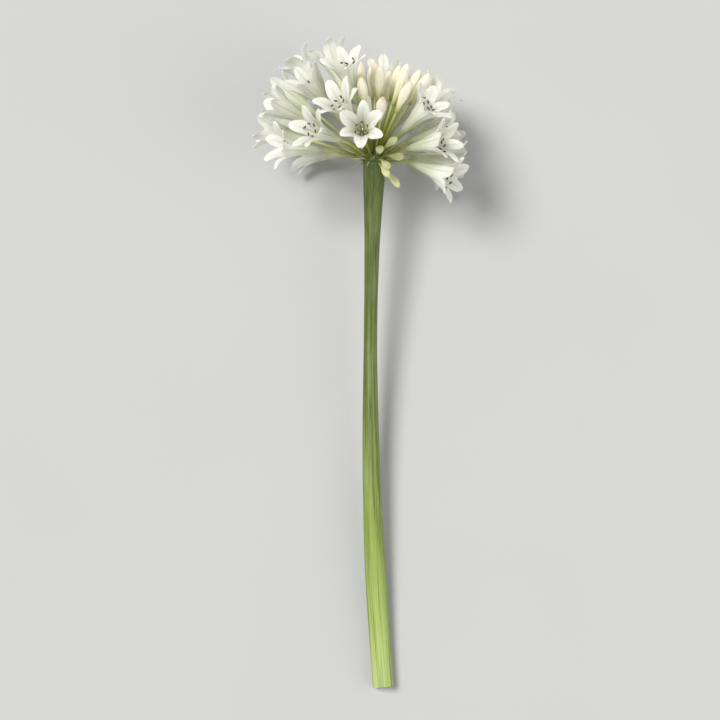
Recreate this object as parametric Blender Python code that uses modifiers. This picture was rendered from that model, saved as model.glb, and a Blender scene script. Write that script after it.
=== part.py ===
"""A white agapanthus umbel on its cut scape, lying on a table.

Units are metres and +Z is up. +Y runs along the scape towards the head, and +X is to the right of someone who
looks down on the umbel with its head away from them. The table is the plane z = 0.

The flowers stand out from one point, the umbel's heart. Their directions follow a golden angle spiral about
the scape's line. Then each is eased clear of its neighbours and of the table, as real ones push each other
aside.
"""

import math

import bmesh
import bpy
import numpy as np
from mathutils import Matrix, Vector

MM = 0.001

# The whole
HEART = (9.5 * MM, 135.0 * MM, 54.0 * MM)
SCAPE_LENGTH = 357 * MM
SEED = 2

# Scape: how far it strays sideways, and its width at distances from the cut end
SCAPE_BOW = -3.4 * MM
SCAPE_DRIFT = 5.9 * MM
SCAPE_END_HEIGHT = 5.4 * MM
SCAPE_RISE_POWER = 1.5
SCAPE_RINGS = 18
SCAPE_WIDTHS = ((0, 14.2), (75, 14.4), (115, 13.4), (150, 12.0), (225, 9.2), (262, 9.0), (300, 10.4),
                (325, 12.6), (338, 14.4), (350, 15.2), (357, 14.6))
RECEPTACLE_RADIUS = 7.8 * MM
RECEPTACLE_SINK = 3.0 * MM

# Pedicels
PEDICEL_RADIUS = 0.95 * MM
PEDICEL_STEPS = 2
PEDICEL_NECK = 3 * MM
PEDICEL_ROOT = 4.5 * MM
GAP = 0.3 * MM

# Where the flowers stand in the head. The half open florets go by their number in the spiral. It leaves out its
# flowers at the front, above the late buds and before the neck, and the added ones stand there instead: degrees
# from the head's line, and degrees of turn about it.
BUD_COUNT = 12
BUD_CONE = math.radians(31)
FLORET_COUNT = 32
FLORET_BAND = (math.radians(37), math.radians(94.8))
HALF_OPEN = (3, 8, 10, 13, 18, 26)
GOLDEN_ANGLE = math.pi * (3 - math.sqrt(5))
HEAD_LEAN = math.radians(8)
LONG_SIDE = (-0.50, 0.87, 0.0)
LONG_SIDE_EXTRA = 24 * MM
FRONT_GAP = (0.40, 0.05, 0.91)
FRONT_GAP_ANGLE = math.radians(25)
BUD_SIDE = (0.0, 0.45, 0.89)
BUD_SIDE_ANGLE = math.radians(20)
NECK_SIDE = (-0.15, -0.10, 0.98)
NECK_SIDE_ANGLE = math.radians(18)
ADDED = (("bud", 41, 68), ("bud", 43, 114), ("bud", 56, 90), ("floret", 70, 109),
         ("young_bud", 102, 66), ("young_bud", 118, 62), ("young_bud", 131, 20))

# Flowers: floret and bud lengths, and the pedicel each stands on
FLORET_PEDICEL = 26 * MM
BUD_PEDICEL = 38 * MM
YOUNG_PEDICEL = 13 * MM
BUD_LENGTH = 27 * MM
BUD_RADIUS = 3.3 * MM
YOUNG_LENGTH = 15 * MM
YOUNG_RADIUS = 2.5 * MM

# Floret
TUBE_LENGTH = 13 * MM
LOBE_LENGTH = 27 * MM
TUBE_ROOT_RADIUS = 1.5 * MM
TUBE_SLOPE = math.radians(10)
SPREAD = (math.radians(5), math.radians(12))
CURL = (math.radians(18), math.radians(50))
SHELL = 0.6 * MM
LOBE_SHARES = (0.57, 0.43)
LOBE_WIDTHS = (4.3 * MM, 3.4 * MM)
LOBE_WIDEST = 0.6
LOBE_SLIT = 0.38 * MM
LOBE_ROWS = (0.40, 0.78, 1.0)
OVARY_RADII = (0.42 * MM, 1.95 * MM)
OVARY_ROOT = 0.2 * MM
OVARY_HEIGHT = 8 * MM
STAMEN_SINK = 1.0 * MM
STAMEN_RADIUS = 0.35 * MM
STAMEN_REACH = 31 * MM

# Easing apart: balls along each flower's axis and pedicel stand for it, and push those of its neighbours
EASE_STEPS = 300
HOMING = 0.02
PUSH = 0.17
CLEARANCE = 1.0 * MM
LENGTH_PLAY = 0.07
BALL_PLACES = (0.08, 0.3, 0.5, 0.68, 0.84, 0.98)
FLORET_BALL_SHARE = 0.92
FLORET_BALL_EXTRA = 0.4 * MM
BUD_BALL_SHARES = (0.6, 0.8, 1.0, 1.1, 0.9, 0.6)
STALK_PLACES = (0.36, 0.5, 0.64, 0.78, 0.92)
STALK_BALL = PEDICEL_RADIUS + 0.3 * MM
TOUCHING = 0.5 * MM

# Colours
WHITE = (0.93, 0.94, 0.87, 1.0)
CREAM = (0.86, 0.82, 0.62, 1.0)
GREEN = (0.20, 0.27, 0.05, 1.0)


def unit(vectors):
    """Scales vectors to length one."""
    vectors = np.asarray(vectors, dtype=float)
    return vectors / np.linalg.norm(vectors, axis=-1, keepdims=True)


def floret_profile(openness, distances):
    """Gives the radius and height of a floret's wall at distances along it from its root."""
    spread = SPREAD[0] + (SPREAD[1] - SPREAD[0]) * openness
    curl = CURL[0] + (CURL[1] - CURL[0]) * openness
    steps = np.linspace(0, TUBE_LENGTH + LOBE_LENGTH, 161)
    along = np.clip((steps - TUBE_LENGTH) / LOBE_LENGTH, 0, 1)
    slope = TUBE_SLOPE + spread * along + curl * along ** 3
    stride = np.diff(steps)
    middle = (slope[1:] + slope[:-1]) / 2
    radii = TUBE_ROOT_RADIUS + np.concatenate([[0], np.cumsum(np.sin(middle) * stride)])
    heights = np.concatenate([[0], np.cumsum(np.cos(middle) * stride)])
    return np.interp(distances, steps, radii), np.interp(distances, steps, heights)


def scape_line(distances):
    """Gives points of the scape's centre line at distances from its cut end."""
    share = np.asarray(distances) / SCAPE_LENGTH
    lean = math.asin((HEART[2] - SCAPE_END_HEIGHT) / SCAPE_LENGTH)
    x = HEART[0] + SCAPE_BOW * np.sin(math.pi * share) + SCAPE_DRIFT * (1 - share) ** 3
    y = HEART[1] - SCAPE_LENGTH * math.cos(lean) * (1 - share)
    z = SCAPE_END_HEIGHT + (HEART[2] - SCAPE_END_HEIGHT) * share ** SCAPE_RISE_POWER
    return np.stack([x, y, z], axis=-1)


def head_axes():
    """Gives the head's three directions: to the right, to the front, and out along the scape."""
    ends = scape_line(np.array([0.85, 1.0]) * SCAPE_LENGTH)
    along = unit(ends[1] - ends[0])
    right = unit(np.cross(along, (0, 0, 1)))
    front = np.cross(right, along)
    return np.stack([right, front, along])


def flower_axes():
    """Gives the head's three directions again, but leaning to the right, as its flowers do."""
    right, front, along = head_axes()
    cosine, sine = math.cos(HEAD_LEAN), math.sin(HEAD_LEAN)
    return np.stack([right * cosine - along * sine, front, along * cosine + right * sine])


def pedicel_centre():
    """Gives the middle of the receptacle, which all the pedicels grow out of."""
    return np.array(HEART) - head_axes()[2] * RECEPTACLE_SINK


def cone_direction(polar, turn):
    """Gives a direction by its angle from the scape's line and its turn about it."""
    return np.array([math.sin(polar) * math.cos(turn), math.sin(polar) * math.sin(turn), math.cos(polar)])


def spiral(count, low, high, start):
    """Spreads directions evenly between two cones about the scape's line."""
    for k in range(count):
        cosine = math.cos(low) + (k + 0.5) / count * (math.cos(high) - math.cos(low))
        yield cone_direction(math.acos(cosine), (start + k) * GOLDEN_ANGLE)


class Flower:
    """One floret or bud: its kind, its direction in the head, its sizes and its place."""

    def __init__(self, kind, direction, length, reach, pedicel, openness, roll):
        self.kind = kind
        self.direction = direction
        self.length = length
        self.reach = reach
        self.pedicel = pedicel
        self.openness = openness
        self.roll = roll
        self.base = None
        self.axis = None

    def ball_radii(self):
        """Gives the radii of the balls that stand for the flower, from its base to its tip."""
        if self.kind == "floret":
            along = np.array(BALL_PLACES) * (TUBE_LENGTH + LOBE_LENGTH)
            return floret_profile(self.openness, along)[0] * FLORET_BALL_SHARE + FLORET_BALL_EXTRA
        radius = YOUNG_RADIUS if self.kind == "young_bud" else BUD_RADIUS
        return radius * np.array(BUD_BALL_SHARES)


def new_floret(world, pedicel, openness, roll):
    """Makes a floret that stands out in a direction."""
    reach, height = floret_profile(openness, TUBE_LENGTH + LOBE_LENGTH)
    longer = LONG_SIDE_EXTRA * max(0, world @ np.array(LONG_SIDE))
    return Flower("floret", world, float(height), float(reach), pedicel + longer, openness, roll)


def flowers():
    """Makes the list of the head's flowers, before they push each other aside."""
    axes = flower_axes()
    draw = np.random.default_rng(SEED)
    made = []
    for direction in spiral(BUD_COUNT, 0, BUD_CONE, 0):
        length = BUD_LENGTH * draw.uniform(0.9, 1.06)
        pedicel = BUD_PEDICEL + draw.uniform(-2, 3) * MM
        made.append(Flower("bud", direction @ axes, length, 0, pedicel, 0, draw.uniform(0, 2 * math.pi)))
    for k, direction in enumerate(spiral(FLORET_COUNT, *FLORET_BAND, BUD_COUNT)):
        world = direction @ axes
        roll = draw.uniform(0, 2 * math.pi)
        stray = draw.uniform(-2.5, 2.5) * MM
        openness = draw.uniform(0.0, 0.3) if k in HALF_OPEN else draw.uniform(0.72, 1.0)
        if world @ unit(BUD_SIDE) > math.cos(BUD_SIDE_ANGLE):
            continue
        if world @ unit(NECK_SIDE) > math.cos(NECK_SIDE_ANGLE):
            continue
        if world @ unit(FRONT_GAP) > math.cos(FRONT_GAP_ANGLE):
            made.append(Flower("young_bud", world, YOUNG_LENGTH, 0, YOUNG_PEDICEL + stray, 0, roll))
        else:
            made.append(new_floret(world, FLORET_PEDICEL + stray, openness, roll))
    for kind, polar, turn in ADDED:
        world = cone_direction(math.radians(polar), math.radians(turn)) @ axes
        if kind == "floret":
            made.append(new_floret(world, FLORET_PEDICEL, 0.85, 0.4))
        elif kind == "bud":
            made.append(Flower(kind, world, BUD_LENGTH, 0, BUD_PEDICEL, 0, 0))
        else:
            made.append(Flower(kind, world, YOUNG_LENGTH, 0, YOUNG_PEDICEL, 0, 0))
    return made


def pedicel_points(root, direction, base, axis, shares):
    """Gives points on the curve from a pedicel's root to the base of its flower."""
    root, direction, base, axis = (np.asarray(v) for v in (root, direction, base, axis))
    reach = np.linalg.norm(base - root, axis=-1, keepdims=True) / 3
    handles = (root, root + direction * reach, base - axis * reach, base)
    weights = ((1 - shares) ** 3, 3 * shares * (1 - shares) ** 2, 3 * shares ** 2 * (1 - shares), shares ** 3)
    return sum(np.multiply.outer(w, h) for w, h in zip(weights, handles))


def settle(made):
    """Eases the flowers clear of each other and of the table."""
    heart = np.array(HEART)
    directions = np.array([f.direction for f in made])
    lengths = np.array([f.length for f in made])
    pedicels = np.array([f.pedicel for f in made])
    reach = np.array([f.reach for f in made])
    radii = np.array([f.ball_radii() for f in made])
    places = np.tile(BALL_PLACES, (len(made), 1))
    stalk = np.array(STALK_PLACES)
    roots = pedicel_centre() + directions * PEDICEL_ROOT
    home_base = heart + directions * pedicels[:, None]
    home_tip = home_base + directions * lengths[:, None]
    base, tip = home_base.copy(), home_tip.copy()
    count, balls = len(made), places.shape[1] + len(stalk)
    ball_radii = np.concatenate([radii, np.full((count, len(stalk)), STALK_BALL)], 1).ravel()
    owner = np.repeat(np.arange(count), balls)
    is_stalk = np.tile(np.arange(balls) >= places.shape[1], count)
    ignore = (owner[:, None] == owner[None]) | (is_stalk[:, None] & is_stalk[None])
    need = ball_radii[:, None] + ball_radii[None] + CLEARANCE
    tip_share = np.concatenate([places, np.zeros((count, len(stalk)))], 1)
    base_share = np.concatenate([1 - places, np.tile(stalk, (count, 1))], 1)
    norm = tip_share ** 2 + base_share ** 2
    for step in range(EASE_STEPS):
        base += HOMING * (home_base - base)
        tip += HOMING * (home_tip - tip)
        stalks = pedicel_points(roots, directions, base, unit(tip - base), stalk).transpose(1, 0, 2)
        bodies = base[:, None] + places[:, :, None] * (tip - base)[:, None]
        centres = np.concatenate([bodies, stalks], 1).reshape(-1, 3)
        apart = centres[:, None] - centres[None]
        distance = np.sqrt((apart ** 2).sum(2))
        over = np.where(ignore, 0, np.clip(need - distance, 0, None))
        push = (apart * (over / np.maximum(distance, 1e-9))[:, :, None]).sum(1)
        push = PUSH * push.reshape(count, balls, 3)
        base += (push * (base_share / norm)[:, :, None]).sum(1)
        tip += (push * (tip_share / norm)[:, :, None]).sum(1)
        out = base - heart
        now = np.linalg.norm(out, axis=1)
        wanted = np.clip(now, (1 - LENGTH_PLAY) * pedicels, (1 + LENGTH_PLAY) * pedicels)
        base = heart + out * (wanted / now)[:, None]
        axis = unit(tip - base)
        tip = base + axis * lengths[:, None]
        low = tip[:, 2] - reach * np.sqrt(np.clip(1 - axis[:, 2] ** 2, 0, 1))
        low -= np.where(reach > 0, SHELL * np.clip(-axis[:, 2], 0, 1), BUD_RADIUS)
        tip[:, 2] += np.clip(-low, 0, None)
        axis = unit(tip - base)
        tip = base + axis * lengths[:, None]
    for flower, flower_base, flower_axis, height in zip(made, base, axis, low):
        flower.base = flower_base
        flower.axis = flower_axis
        if height < TOUCHING:
            flower.roll = 0.0


def flower_matrix(flower):
    """Gives the matrix that stands a flower's mesh in its place, with its roll about its own line."""
    axis = Vector(flower.axis)
    down = Vector((0, 0, -1))
    side = (down - axis * down.dot(axis)).normalized()
    turn = Matrix((side, axis.cross(side), axis)).transposed().to_4x4()
    return Matrix.Translation(Vector(flower.base)) @ turn @ Matrix.Rotation(flower.roll, 4, "Z")


def material(name, colour, roughness):
    """Makes a plain material."""
    made = bpy.data.materials.new(name)
    made.use_nodes = True
    shader = made.node_tree.nodes["Principled BSDF"]
    shader.inputs["Base Color"].default_value = colour
    shader.inputs["Roughness"].default_value = roughness
    shader.inputs["Metallic"].default_value = 0.0
    return made


def add_object(name, mesh, collection):
    """Puts a mesh in a collection as an object."""
    made = bpy.data.objects.new(name, mesh)
    collection.objects.link(made)
    return made


def wire(name, points, radii, resolution, collection):
    """Makes a closed mesh tube along points, from a bevelled curve."""
    curve = bpy.data.curves.new(name, "CURVE")
    curve.dimensions = "3D"
    curve.bevel_depth = 1.0
    curve.bevel_resolution = resolution
    curve.use_fill_caps = True
    spline = curve.splines.new("POLY")
    spline.points.add(len(points) - 1)
    for place, point, radius in zip(spline.points, points, radii):
        place.co = (*point, 1)
        place.radius = radius
    guide = add_object(name + "_line", curve, collection)
    mesh = bpy.data.meshes.new_from_object(guide.evaluated_get(bpy.context.evaluated_depsgraph_get()))
    bpy.data.objects.remove(guide)
    bpy.data.curves.remove(curve)
    bm = bmesh.new()
    bm.from_mesh(mesh)
    bmesh.ops.remove_doubles(bm, verts=bm.verts, dist=0.01 * MM)
    bmesh.ops.recalc_face_normals(bm, faces=bm.faces)
    bm.to_mesh(mesh)
    bm.free()
    return add_object(name, mesh, collection)


def join_repeats(body, repeats):
    """Joins a collection of small pieces to a body with one Boolean union, and removes the collection."""
    union = body.modifiers.new("join", "BOOLEAN")
    union.operation = "UNION"
    union.operand_type = "COLLECTION"
    union.collection = repeats
    bpy.context.view_layer.update()
    joined = bpy.data.meshes.new_from_object(body.evaluated_get(bpy.context.evaluated_depsgraph_get()))
    body.modifiers.clear()
    body.data = joined
    for piece in list(repeats.objects):
        bpy.data.objects.remove(piece)
    bpy.data.collections.remove(repeats)


def new_collection(name):
    """Makes a collection in the scene."""
    made = bpy.data.collections.new(name)
    bpy.context.scene.collection.children.link(made)
    return made


def lobe_half_width(lobe, share, radius):
    """Gives half a lobe's width at a share of its length, never so wide that it meets the next lobe."""
    room = LOBE_SHARES[lobe % 2] * math.pi / 3 * radius
    if share <= 0:
        return room
    widening = 0.65 + 0.35 * math.sin(math.pi / 2 * min(1.0, share / LOBE_WIDEST))
    rounding = max(0.0, (share - LOBE_WIDEST) / (1 - LOBE_WIDEST))
    wish = LOBE_WIDTHS[lobe % 2] * widening * (1 - rounding ** 2.6) ** 0.6
    return min(room - LOBE_SLIT, wish) if share < 1 else 0.0


def floret_mesh(name, openness):
    """Bends six strips of grid into a trumpet with six lobes, and closes its root."""
    lobe_rows = [TUBE_LENGTH + LOBE_LENGTH * share for share in LOBE_ROWS]
    rows = [0.0, TUBE_LENGTH] + lobe_rows
    radii, heights = floret_profile(openness, rows)
    bm = bmesh.new()
    for lobe in range(6):
        middle = lobe * math.pi / 3
        strip = bmesh.ops.create_grid(bm, x_segments=2, y_segments=len(rows) - 1, size=1)
        for vert in strip["verts"]:
            row = round((vert.co.y + 1) / 2 * (len(rows) - 1))
            share = (rows[row] - TUBE_LENGTH) / LOBE_LENGTH
            swing = vert.co.x * lobe_half_width(lobe, share, radii[row]) / radii[row]
            x = radii[row] * math.cos(middle + swing)
            y = radii[row] * math.sin(middle + swing)
            vert.co = (x, y, heights[row])
    bmesh.ops.remove_doubles(bm, verts=bm.verts, dist=0.02 * MM)
    root = [edge for edge in bm.edges if edge.is_boundary and max(v.co.z for v in edge.verts) < 0.1 * MM]
    bmesh.ops.contextual_create(bm, geom=root)
    bmesh.ops.recalc_face_normals(bm, faces=bm.faces)
    lowest = min(bm.faces, key=lambda face: face.calc_center_median().z)
    if lowest.normal.z > 0:
        bmesh.ops.reverse_faces(bm, faces=bm.faces)
    bmesh.ops.triangulate(bm, faces=bm.faces)
    mesh = bpy.data.meshes.new(name)
    bm.to_mesh(mesh)
    bm.free()
    return mesh


def stamen_lines(openness):
    """Gives the lines of a floret's six stamens, which leave the ovary's top and sag to one side."""
    for k in range(6):
        angle = k * math.pi / 3
        points = []
        for share in (0, 0.55, 1):
            out = (0.85 + (2.2 + 1.6 * openness) * share) * MM
            sag = 3.0 * MM * share ** 2
            height = OVARY_HEIGHT - STAMEN_SINK + (STAMEN_REACH - OVARY_HEIGHT) * share
            points.append((out * math.cos(angle) + sag, out * math.sin(angle), height))
        yield points


def add_floret(name, flower, collection, skin):
    """Makes one open floret: a thin trumpet with its stamens and style joined to it."""
    shell = add_object(name, floret_mesh(name, flower.openness), collection)
    thick = shell.modifiers.new("thickness", "SOLIDIFY")
    thick.thickness = SHELL
    thick.offset = -1
    if flower.openness > 0.5:
        threads = new_collection(name + "_stamens")
        ovary = [(0, 0, OVARY_ROOT), (0, 0, OVARY_HEIGHT)]
        wire(name + "_ovary", ovary, OVARY_RADII, 1, threads)
        for number, points in enumerate(stamen_lines(flower.openness)):
            wire(f"{name}_stamen_{number}", points, [STAMEN_RADIUS] * len(points), 0, threads)
        join_repeats(shell, threads)
    shell.data.materials.clear()
    shell.data.materials.append(skin)
    shell.matrix_world = flower_matrix(flower)
    return shell


def add_bud(name, flower, collection, skin):
    """Makes one closed bud: a ball drawn out to a club with a narrow neck and a blunt tip."""
    bm = bmesh.new()
    bmesh.ops.create_uvsphere(bm, u_segments=6, v_segments=7, radius=1)
    radius = YOUNG_RADIUS if flower.kind == "young_bud" else BUD_RADIUS
    for vert in bm.verts:
        share = 1 - math.acos(max(-1, min(1, vert.co.z))) / math.pi
        girth = math.hypot(vert.co.x, vert.co.y)
        angle = math.atan2(vert.co.y, vert.co.x)
        wide = 0.0
        if girth > 0.01:
            wide = radius * (0.36 + 0.64 * math.sin(math.pi * share ** 1.6) ** 1.1)
        vert.co = (wide * math.cos(angle), wide * math.sin(angle), flower.length * share)
    mesh = bpy.data.meshes.new(name)
    bm.to_mesh(mesh)
    bm.free()
    mesh.materials.append(skin)
    mesh.shade_smooth()
    bud = add_object(name, mesh, collection)
    bud.matrix_world = flower_matrix(flower)
    return bud


def add_scape(made, collection, skin):
    """Makes the scape with its receptacle, and joins a pedicel to it for each flower."""
    distances = np.linspace(0, SCAPE_LENGTH, SCAPE_RINGS)
    known, widths = zip(*SCAPE_WIDTHS)
    radii = np.interp(distances / MM, known, widths) / 2 * MM
    name = "scape_and_pedicels"
    scape = wire(name, scape_line(distances), radii, 4, collection)
    for vert in scape.data.vertices:
        vert.co.z = max(0.0, vert.co.z)
    along = head_axes()[2]
    centre = Vector(pedicel_centre())
    repeats = new_collection("pedicels")
    bm = bmesh.new()
    bmesh.ops.create_uvsphere(bm, u_segments=12, v_segments=8, radius=RECEPTACLE_RADIUS)
    dome = bpy.data.meshes.new("receptacle")
    bm.to_mesh(dome)
    bm.free()
    receptacle = add_object("receptacle", dome, repeats)
    lean = Vector(along).to_track_quat("Z", "Y").to_matrix().to_4x4()
    receptacle.matrix_world = Matrix.Translation(centre) @ lean
    shares = np.linspace(0, 1, PEDICEL_STEPS + 1)
    for number, flower in enumerate(made):
        root = np.array(centre) + flower.direction * PEDICEL_ROOT
        neck = flower.base - flower.axis * PEDICEL_NECK
        points = list(pedicel_points(root, flower.direction, neck, flower.axis, shares))
        points.append(flower.base - flower.axis * GAP)
        thick = PEDICEL_RADIUS * (0.8 if flower.kind == "young_bud" else 1.0)
        wire(f"pedicel_{number:02d}", points, [thick] * len(points), 0, repeats)
    join_repeats(scape, repeats)
    scape.data.materials.clear()
    scape.data.materials.append(skin)
    scape.data.shade_smooth()
    scape.data.set_sharp_from_angle(angle=math.radians(50))
    return scape


def main():
    """Builds the whole umbel."""
    for thing in list(bpy.data.objects):
        bpy.data.objects.remove(thing)
    collection = new_collection("agapanthus_flower_head")
    white = material("white tepal", WHITE, 0.55)
    cream = material("cream bud", CREAM, 0.5)
    green = material("green stem", GREEN, 0.45)
    made = flowers()
    settle(made)
    add_scape(made, collection, green)
    counts = {"floret": 0, "bud": 0, "young_bud": 0}
    for flower in made:
        counts[flower.kind] += 1
        name = f"{flower.kind}_{counts[flower.kind]:02d}"
        if flower.kind == "floret":
            add_floret(name, flower, collection, white)
        else:
            add_bud(name, flower, collection, cream)


main()
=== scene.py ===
"""The looks of a white agapanthus umbel on its cut scape, lying on a pale table.

Units are metres and +Z is up. +Y runs along the scape towards the head, and +X is to the right of someone who
looks down on the umbel with its head away from them. The table is the plane z = 0.

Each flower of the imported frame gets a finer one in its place: the layout below finds where each stands and
how far it has opened, by the same rules and the same numbers that the frame was made with.
"""

import dataclasses
import functools
import math

import bpy
import numpy as np
from mathutils import Matrix, Vector


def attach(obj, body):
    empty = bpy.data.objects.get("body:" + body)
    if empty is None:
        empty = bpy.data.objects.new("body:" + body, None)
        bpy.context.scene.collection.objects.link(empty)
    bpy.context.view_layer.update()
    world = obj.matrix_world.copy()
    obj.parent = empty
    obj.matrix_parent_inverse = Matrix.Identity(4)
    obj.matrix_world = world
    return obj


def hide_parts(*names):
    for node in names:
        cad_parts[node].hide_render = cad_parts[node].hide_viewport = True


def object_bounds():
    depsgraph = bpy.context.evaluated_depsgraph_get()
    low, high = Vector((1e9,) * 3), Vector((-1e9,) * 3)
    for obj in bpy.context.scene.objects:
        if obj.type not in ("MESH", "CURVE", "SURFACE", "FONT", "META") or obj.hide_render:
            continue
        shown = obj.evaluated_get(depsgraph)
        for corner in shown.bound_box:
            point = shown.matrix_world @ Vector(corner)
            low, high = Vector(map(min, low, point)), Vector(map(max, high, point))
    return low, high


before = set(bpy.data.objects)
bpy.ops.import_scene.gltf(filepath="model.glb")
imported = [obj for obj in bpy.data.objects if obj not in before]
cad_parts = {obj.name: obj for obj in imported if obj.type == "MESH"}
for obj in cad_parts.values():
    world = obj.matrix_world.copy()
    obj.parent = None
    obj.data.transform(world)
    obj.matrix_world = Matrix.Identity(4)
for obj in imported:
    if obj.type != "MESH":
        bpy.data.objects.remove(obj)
cad_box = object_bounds()

bl_info = {
    "name": "Agapanthus Umbel",
    "version": (1, 0, 0),
    "blender": (4, 5, 0),
    "location": "3D View > Sidebar > Agapanthus",
    "description": "Grows the fine florets, buds, pedicels and scape of a white agapanthus umbel",
    "category": "Object",
}

MM = 0.001

# The whole. The heart is where the scape ends in the head. Faces meet sharply from the sharp angle on, and
# what lies lower than the soft height is pressed on to the table.
HEART = (9.5 * MM, 135.0 * MM, 54.0 * MM)
SCAPE_LENGTH = 357 * MM
LAYOUT_SEED = 2
GROWTH_SEED = 4
SHARP_ANGLE = math.radians(55)
SOFT_HEIGHT = 0.5 * MM

# Scape: its widths in mm at distances in mm from the cut, eased over some rows, its ribs, and the scar of the
# two leafy valves that wrapped the head
SCAPE_BOW = -3.4 * MM
SCAPE_DRIFT = 5.9 * MM
SCAPE_END_HEIGHT = 5.4 * MM
SCAPE_RISE_POWER = 1.5
SCAPE_WIDTHS = ((0, 14.2), (75, 14.4), (115, 13.4), (150, 12.0), (225, 9.2), (262, 9.0), (300, 10.4),
                (325, 12.6), (338, 14.4), (350, 15.2), (357, 14.6))
SCAPE_ROWS = 180
SCAPE_SIDES = 72
SCAPE_EASING = 7
RIB_COUNTS = (14, 19, 24)
SCAR_PLACE = 351 * MM
SCAR_WIDTH = 0.7 * MM
SCAR_HEIGHT = 0.35 * MM
RECEPTACLE_RADIUS = 7.8 * MM
RECEPTACLE_SINK = 3.0 * MM

# Pedicels. Each is stouter at its root, by shares of its waist, and its neck swells towards its flower: the
# places of its last rings in mm below the flower's base, and the shares of the swelling
PEDICEL_RADIUS = 0.95 * MM
PEDICEL_NECK = 3 * MM
PEDICEL_ROOT = 4.5 * MM
PEDICEL_ROWS = 16
PEDICEL_SIDES = 10
NECK_PLACES = (2.2, 1.4, 0.7, 0.1, -0.3)
NECK_SWELLING = (0.02, 0.1, 0.3, 0.55, 0.8, 1.0, 0.9)
ROOT_FLARE = (1.35, 1.25, 1.12)
BUD_NECK = 1.25
YOUNG_SLIMNESS = 0.8

# Bracteoles, with their lengths in mm
BRACTEOLE_COUNT = 26
BRACTEOLE_BAND = (math.radians(35), math.radians(108))
BRACTEOLE_LENGTHS = (6, 10)
BRACTEOLE_RADIUS = 0.75 * MM
BRACTEOLE_ROWS = 8
BRACTEOLE_SIDES = 8

# Where the flowers stand in the head. The half open florets go by their number in the spiral. It leaves out
# its flowers beside the buds and before the neck, and the added ones stand there instead: degrees from the
# head's line, and degrees of turn about it. In the gap at the front its flowers are late buds.
BUD_COUNT = 12
BUD_CONE = math.radians(31)
FLORET_COUNT = 32
FLORET_BAND = (math.radians(37), math.radians(94.8))
HALF_OPEN = (3, 8, 10, 13, 18, 26)
GOLDEN_ANGLE = math.pi * (3 - math.sqrt(5))
HEAD_LEAN = math.radians(8)
LONG_SIDE = (-0.50, 0.87, 0.0)
LONG_SIDE_EXTRA = 24 * MM
FRONT_GAP = (0.40, 0.05, 0.91)
FRONT_GAP_ANGLE = math.radians(25)
BUD_SIDE = (0.0, 0.45, 0.89)
BUD_SIDE_ANGLE = math.radians(20)
NECK_SIDE = (-0.15, -0.10, 0.98)
NECK_SIDE_ANGLE = math.radians(18)
ADDED = (("bud", 41, 68), ("bud", 43, 114), ("bud", 56, 90), ("floret", 70, 109),
         ("young_bud", 102, 66), ("young_bud", 118, 62), ("young_bud", 131, 20))

# How the flowers differ: a bud's length by a share, pedicels by some mm, and how far the florets have opened
BUD_LENGTH_STRAY = (0.9, 1.06)
BUD_PEDICEL_STRAY = (-2, 3)
PEDICEL_STRAY = (-2.5, 2.5)
HALF_OPENNESS = (0.0, 0.3)
FULL_OPENNESS = (0.72, 1.0)
ADDED_OPENNESS = 0.85
ADDED_ROLL = 0.4

# The pedicels that the three kinds of flower stand on, and the sizes of the cream buds and the late ones
FLORET_PEDICEL = 26 * MM
BUD_PEDICEL = 38 * MM
YOUNG_PEDICEL = 13 * MM
BUD_LENGTH = 27 * MM
BUD_RADIUS = 3.3 * MM
YOUNG_LENGTH = 15 * MM
YOUNG_RADIUS = 2.5 * MM

# Floret: its tube, and the free lobes of its six tepals. Spread and curl are those of a floret that has only
# just parted, and of one that is wide open. Shares and widths are an inner tepal's, and an outer one's.
TEPAL_COUNT = 6
TUBE_LENGTH = 13 * MM
LOBE_LENGTH = 27 * MM
TUBE_ROOT_RADIUS = 1.5 * MM
TUBE_SLOPE = math.radians(10)
SPREAD = (math.radians(5), math.radians(12))
CURL = (math.radians(18), math.radians(50))
SHELL = 0.6 * MM
LOBE_SHARES = (0.57, 0.43)
LOBE_WIDTHS = (4.6 * MM, 3.75 * MM)
LOBE_WIDEST = 0.6
OVARY_HEIGHT = 8 * MM
STAMEN_SINK = 1.0 * MM
STAMEN_REACH = 31 * MM
PROFILE_POINTS = 161

# Easing apart: balls along each flower's axis and pedicel stand for it, and push those of its neighbours
EASE_STEPS = 300
HOMING = 0.02
PUSH = 0.17
CLEARANCE = 1.0 * MM
LENGTH_PLAY = 0.07
BALL_PLACES = (0.08, 0.3, 0.5, 0.68, 0.84, 0.98)
FLORET_BALL_SHARE = 0.92
FLORET_BALL_EXTRA = 0.4 * MM
BUD_BALL_SHARES = (0.6, 0.8, 1.0, 1.1, 0.9, 0.6)
STALK_PLACES = (0.36, 0.5, 0.64, 0.78, 0.92)
STALK_BALL = PEDICEL_RADIUS + 0.3 * MM
TOUCHING = 0.5 * MM

# Fine floret: its rows and columns of points, how they crowd, how its tepals stray from the plain form, and
# the threads and the ovary inside it
LOBE_COLUMNS = 8
RING_POINTS = TEPAL_COUNT * LOBE_COLUMNS
TUBE_ROWS = 7
TUBE_CROWDING = 0.8
LOBE_ROWS = 20
LOBE_CROWDING = 1.35
LOBE_END = 0.994
SLOPE_STEP = 0.05 * MM
CREASE_WIDTH = 0.16
TWIST = (-0.35, 0.35)
MARGIN_BEATS = (1.5, 2.3)
REFLEX = (-0.2, 0.9)
FILAMENT_ROWS = 12
FILAMENT_SIDES = 6
STAMEN_SAG = 3.0 * MM
STYLE_SAG = 3.4 * MM
ANTHER_ROWS = 9
ANTHER_SIDES = 10
OVARY_ROWS = 12
OVARY_SIDES = 18
OVARY_RADIUS = 1.55 * MM

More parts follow.
